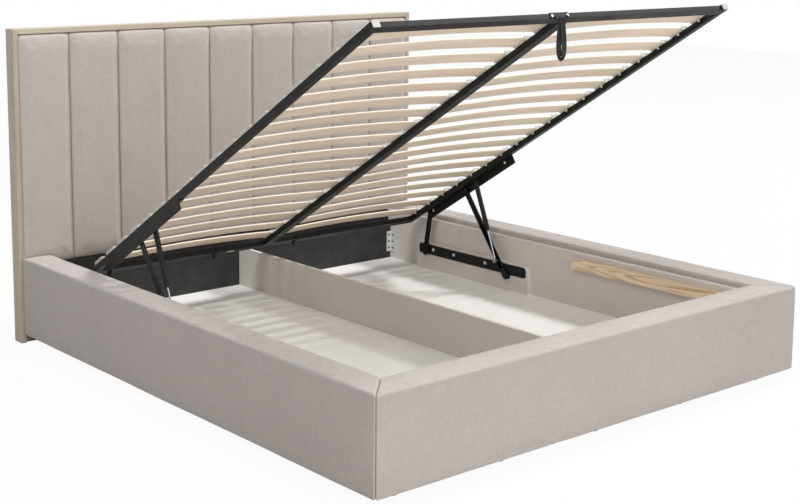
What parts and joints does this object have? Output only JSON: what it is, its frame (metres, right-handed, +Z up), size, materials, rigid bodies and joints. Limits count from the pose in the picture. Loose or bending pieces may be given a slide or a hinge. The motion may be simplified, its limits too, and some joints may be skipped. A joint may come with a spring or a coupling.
{
  "type": "storage bed",
  "caption": "Upholstered storage bed with a channelled headboard and a slatted platform that lifts on hinged arms and gas struts over a divided well.",
  "frame": {"origin": "on the floor under the middle of the bed, footboard's outer face to headboard's back", "axes": "+X to the right for someone lying on their back, seen from the foot; +Y from the footboard to the headboard; +Z up"},
  "size_m": [2.075, 2.261, 1.3934],
  "materials": {
    "fabric": "woven linen look, matt",
    "frame_wood": "taupe beige stained wood, satin",
    "board": "beige-grey laminated board, matt",
    "carcass_wood": "raw board",
    "floor_board": "pale laminated hardboard, matt",
    "dark_lining": "dark non-woven lining, mottled",
    "pine": "bare pine",
    "slat_wood": "bent laminated beech or birch, bare",
    "black_steel": "black powder coat, satin",
    "zinc": "zinc plated",
    "chrome_rod": "polished",
    "white_plastic": "moulded white",
    "black_plastic": "moulded black",
    "webbing": "black woven webbing"
  },
  "bodies": {
    "base": {"base_pivot_pins": "black_steel", "base_plate_bolts": "zinc", "base_plate_left": "black_steel", "base_plate_right": "black_steel", "centre_divider": "board", "corner_brackets": "zinc", "floor_bearers": "carcass_wood", "floor_panel_left": "floor_board", "floor_panel_right": "floor_board", "foot_inner_board": "board", "foot_rests": "pine", "footboard_cover": "fabric", "footboard_frame": "carcass_wood", "glide_feet": "black_plastic", "head_bay_lining": "dark_lining", "head_panel": "dark_lining", "headboard_back_panel": "dark_lining", "headboard_bottom_rail": "frame_wood", "headboard_channels": "fabric", "headboard_core": "carcass_wood", "headboard_lower_panel": "dark_lining", "headboard_post_left": "frame_wood", "headboard_post_right": "frame_wood", "headboard_stiffeners": "carcass_wood", "headboard_top_rail": "frame_wood", "mounting_board_left": "board", "mounting_board_right": "board", "side_battens": "pine", "side_inner_board_left": "board", "side_inner_board_right": "board", "side_rail_cover_left": "fabric", "side_rail_cover_right": "fabric", "side_rail_frame_left": "carcass_wood", "side_rail_frame_right": "carcass_wood", "wood_screws": "zinc"},
    "platform": {"side_beam_left": "black_steel", "side_beam_right": "black_steel", "centre_beam": "black_steel", "head_beam": "black_steel", "foot_beam": "black_steel", "beam_caps_and_plug": "white_plastic", "slats_left": "slat_wood", "slats_right": "slat_wood", "side_slat_holders": "white_plastic", "centre_slat_holders": "white_plastic", "head_beam_clips": "black_steel", "strap_plate": "black_steel", "platform_bolts": "zinc", "top_plate_left": "black_steel", "top_plate_right": "black_steel", "platform_pins": "black_steel"},
    "rear_arm_right": {"rear_arm_right": "black_steel"},
    "front_arm_right": {"front_arm_right": "black_steel"},
    "gas_cylinder_right": {"gas_cylinder_right": "black_steel"},
    "gas_rod_right": {"gas_rod_right": "chrome_rod"},
    "rear_arm_left": {"rear_arm_left": "black_steel"},
    "front_arm_left": {"front_arm_left": "black_steel"},
    "gas_cylinder_left": {"gas_cylinder_left": "black_steel"},
    "gas_rod_left": {"gas_rod_left": "chrome_rod"},
    "pull_strap": {"pull_strap": "webbing"}
  },
  "joints": [
    {"name": "rear_arm_right_swing", "type": "hinge", "parent": "base", "child": "rear_arm_right", "pos_m": [0.8385, 0.7195, 0.179], "axis": [1, 0, 0], "range_deg": [-76.75, 0.2]},
    {"name": "front_arm_right_swing", "type": "hinge", "parent": "base", "child": "front_arm_right", "pos_m": [0.8385, 0.19822, 0.1625], "axis": [1, 0, 0], "range_deg": [-41.37, 0.2]},
    {"name": "rear_arm_left_swing", "type": "hinge", "parent": "base", "child": "rear_arm_left", "pos_m": [-0.8385, 0.7195, 0.179], "axis": [1, 0, 0], "range_deg": [-76.75, 0.2]},
    {"name": "front_arm_left_swing", "type": "hinge", "parent": "base", "child": "front_arm_left", "pos_m": [-0.8385, 0.19822, 0.1625], "axis": [1, 0, 0], "range_deg": [-41.37, 0.2]},
    {"name": "platform_lift", "type": "hinge", "parent": "rear_arm_left", "child": "platform", "pos_m": [0, 0.68718, 0.3642], "axis": [1, 0, 0], "range_deg": [0, 108.35], "stiffness_Nm_per_rad": 70, "springref_deg": -108.86},
    {"name": "gas_cylinder_right_swing", "type": "hinge", "parent": "platform", "child": "gas_cylinder_right", "pos_m": [0.825, 0.376, 0.56067], "axis": [1, 0, 0], "range_deg": [-83.39, 0.2]},
    {"name": "gas_rod_right_slide", "type": "slide", "parent": "gas_cylinder_right", "child": "gas_rod_right", "axis": [0, -0.3642, -0.9313], "range_m": [-0.09942, 0.0005]},
    {"name": "gas_cylinder_left_swing", "type": "hinge", "parent": "platform", "child": "gas_cylinder_left", "pos_m": [-0.825, 0.376, 0.56067], "axis": [1, 0, 0], "range_deg": [-83.39, 0.2]},
    {"name": "gas_rod_left_slide", "type": "slide", "parent": "gas_cylinder_left", "child": "gas_rod_left", "axis": [0, -0.3642, -0.9313], "range_m": [-0.09942, 0.0005]},
    {"name": "pull_strap_swing", "type": "hinge", "parent": "platform", "child": "pull_strap", "pos_m": [-0.045, -0.90591, 1.37196], "axis": [1, 0, 0], "range_deg": [-32, 0.2]}
  ],
  "couplings": [
    {"joint": "rear_arm_right_swing", "follows": "platform_lift", "ratio": -0.70652},
    {"joint": "front_arm_right_swing", "follows": "platform_lift", "ratio": -0.37994},
    {"joint": "rear_arm_left_swing", "follows": "platform_lift", "ratio": -0.70652},
    {"joint": "front_arm_left_swing", "follows": "platform_lift", "ratio": -0.37994},
    {"joint": "gas_cylinder_right_swing", "follows": "platform_lift", "ratio": -0.76777},
    {"joint": "gas_rod_right_slide", "follows": "platform_lift", "m_per_rad": -0.052307},
    {"joint": "gas_cylinder_left_swing", "follows": "platform_lift", "ratio": -0.76777},
    {"joint": "gas_rod_left_slide", "follows": "platform_lift", "m_per_rad": -0.052307},
    {"joint": "pull_strap_swing", "follows": "platform_lift", "ratio": -0.29348}
  ]
}
